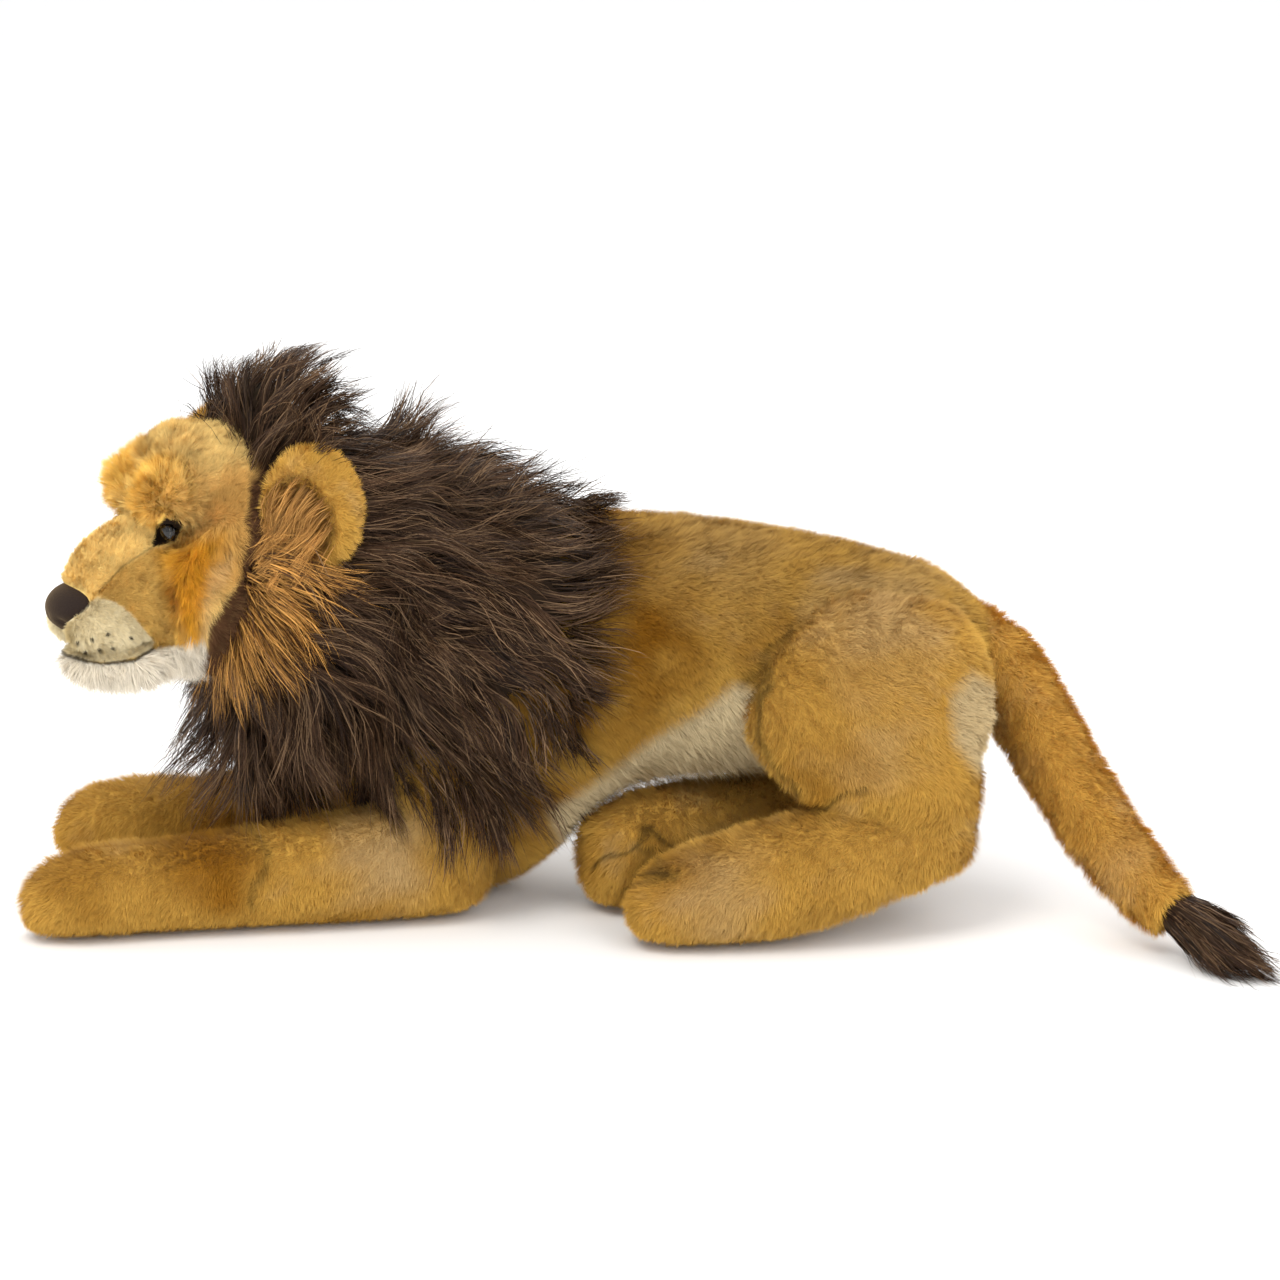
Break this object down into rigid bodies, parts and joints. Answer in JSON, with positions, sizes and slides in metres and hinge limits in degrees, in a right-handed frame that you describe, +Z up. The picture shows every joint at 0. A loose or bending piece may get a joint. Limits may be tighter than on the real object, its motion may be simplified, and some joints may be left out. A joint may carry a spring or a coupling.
{
  "type": "plush lion",
  "caption": "Stuffed lion lying on its front, head turned to its left, long dark mane over the shoulders, forelegs out in front and tail swept to one side",
  "frame": {"origin": "centre of the flat strip on which the chest rests, on the floor and in the body's middle plane", "axes": "+Z up from the floor, -X the way that the body faces, -Y the lion's own left"},
  "size_m": [0.8513, 0.3593, 0.3818],
  "materials": {
    "torso": "short pile plush",
    "belly_panel": "cream pile plush",
    "rump_patch": "cream pile plush",
    "mane_cape": "long pile plush",
    "neck_filling": "polyester filling",
    "head": "short pile plush",
    "muzzle": "short pile plush",
    "nose": "velour",
    "chin": "white pile plush",
    "brow_left": "pile plush",
    "brow_right": "pile plush",
    "cheek_left": "pile plush",
    "cheek_right": "pile plush",
    "lip_pad_left": "cream pile plush",
    "lip_pad_right": "cream pile plush",
    "eye_left": "gloss",
    "eye_right": "gloss",
    "eye_washer_left": "matte",
    "eye_washer_right": "matte",
    "eye_patch_left": "felt",
    "eye_patch_right": "felt",
    "cheek_tuft_left": "long pile plush",
    "cheek_tuft_right": "long pile plush",
    "face_band": "dark pile plush",
    "mane_ruff": "long pile plush",
    "ear_left": "short pile plush",
    "ear_right": "short pile plush",
    "ear_lining_left": "long pile plush",
    "ear_lining_right": "long pile plush",
    "front_leg_left": "short pile plush",
    "front_leg_right": "short pile plush",
    "thigh_left": "short pile plush",
    "thigh_right": "short pile plush",
    "hind_foot_left": "short pile plush",
    "hind_foot_right": "short pile plush",
    "tail_base": "short pile plush",
    "tail_end": "short pile plush",
    "tail_tuft": "long pile plush"
  },
  "bodies": {
    "torso": {"torso": "torso", "belly_panel": "belly_panel", "rump_patch": "rump_patch", "mane_cape": "mane_cape"},
    "neck": {"neck_filling": "neck_filling"},
    "head": {"head": "head", "muzzle": "muzzle", "nose": "nose", "chin": "chin", "brow_left": "brow_left", "brow_right": "brow_right", "cheek_left": "cheek_left", "cheek_right": "cheek_right", "lip_pad_left": "lip_pad_left", "lip_pad_right": "lip_pad_right", "eye_left": "eye_left", "eye_right": "eye_right", "eye_washer_left": "eye_washer_left", "eye_washer_right": "eye_washer_right", "eye_patch_left": "eye_patch_left", "eye_patch_right": "eye_patch_right", "cheek_tuft_left": "cheek_tuft_left", "cheek_tuft_right": "cheek_tuft_right", "face_band": "face_band", "mane_ruff": "mane_ruff"},
    "ear_left": {"ear_left": "ear_left", "ear_lining_left": "ear_lining_left"},
    "ear_right": {"ear_right": "ear_right", "ear_lining_right": "ear_lining_right"},
    "front_leg_left": {"front_leg_left": "front_leg_left"},
    "front_leg_right": {"front_leg_right": "front_leg_right"},
    "hind_leg_left": {"thigh_left": "thigh_left", "hind_foot_left": "hind_foot_left"},
    "hind_leg_right": {"thigh_right": "thigh_right", "hind_foot_right": "hind_foot_right"},
    "tail_base": {"tail_base": "tail_base"},
    "tail_end": {"tail_end": "tail_end", "tail_tuft": "tail_tuft"}
  },
  "joints": [
    {"name": "head_turn", "type": "hinge", "parent": "torso", "child": "neck", "pos_m": [-0.075, -0.02, 0.24], "axis": [0, 0, 1], "range_deg": [-30, 15]},
    {"name": "head_nod", "type": "hinge", "parent": "neck", "child": "head", "pos_m": [-0.075, -0.02, 0.24], "axis": [0.4695, -0.8829, 0], "range_deg": [-10, 10], "stiffness_Nm_per_rad": 10},
    {"name": "ear_left_flex", "type": "hinge", "parent": "head", "child": "ear_left", "pos_m": [-0.10296, -0.12895, 0.30201], "axis": [0, 0, -1], "range_deg": [-10, 15], "stiffness_Nm_per_rad": 0.05},
    {"name": "ear_right_flex", "type": "hinge", "parent": "head", "child": "ear_right", "pos_m": [-0.18096, 0.01774, 0.30201], "axis": [0, 0, 1], "range_deg": [-10, 15], "stiffness_Nm_per_rad": 0.05},
    {"name": "shoulder_left_splay", "type": "hinge", "parent": "torso", "child": "front_leg_left", "pos_m": [-0.011, -0.062, 0], "axis": [0, 0, 1], "range_deg": [-4, 25]},
    {"name": "shoulder_right_splay", "type": "hinge", "parent": "torso", "child": "front_leg_right", "pos_m": [-0.011, 0.062, 0], "axis": [0, 0, -1], "range_deg": [0, 25]},
    {"name": "hip_left_splay", "type": "hinge", "parent": "torso", "child": "hind_leg_left", "pos_m": [0.314, -0.082, 0], "axis": [0, 0, 1], "range_deg": [0, 25]},
    {"name": "hip_right_splay", "type": "hinge", "parent": "torso", "child": "hind_leg_right", "pos_m": [0.314, 0.082, 0], "axis": [0, 0, -1], "range_deg": [0, 10]},
    {"name": "tail_root_swing", "type": "hinge", "parent": "torso", "child": "tail_base", "pos_m": [0.38, 0, 0.19], "axis": [0, 0, 1], "range_deg": [-25, 25]},
    {"name": "tail_mid_bend", "type": "hinge", "parent": "tail_base", "child": "tail_end", "pos_m": [0.42968, -0.07, 0.10738], "axis": [0, 0, 1], "range_deg": [-20, 20]}
  ]
}
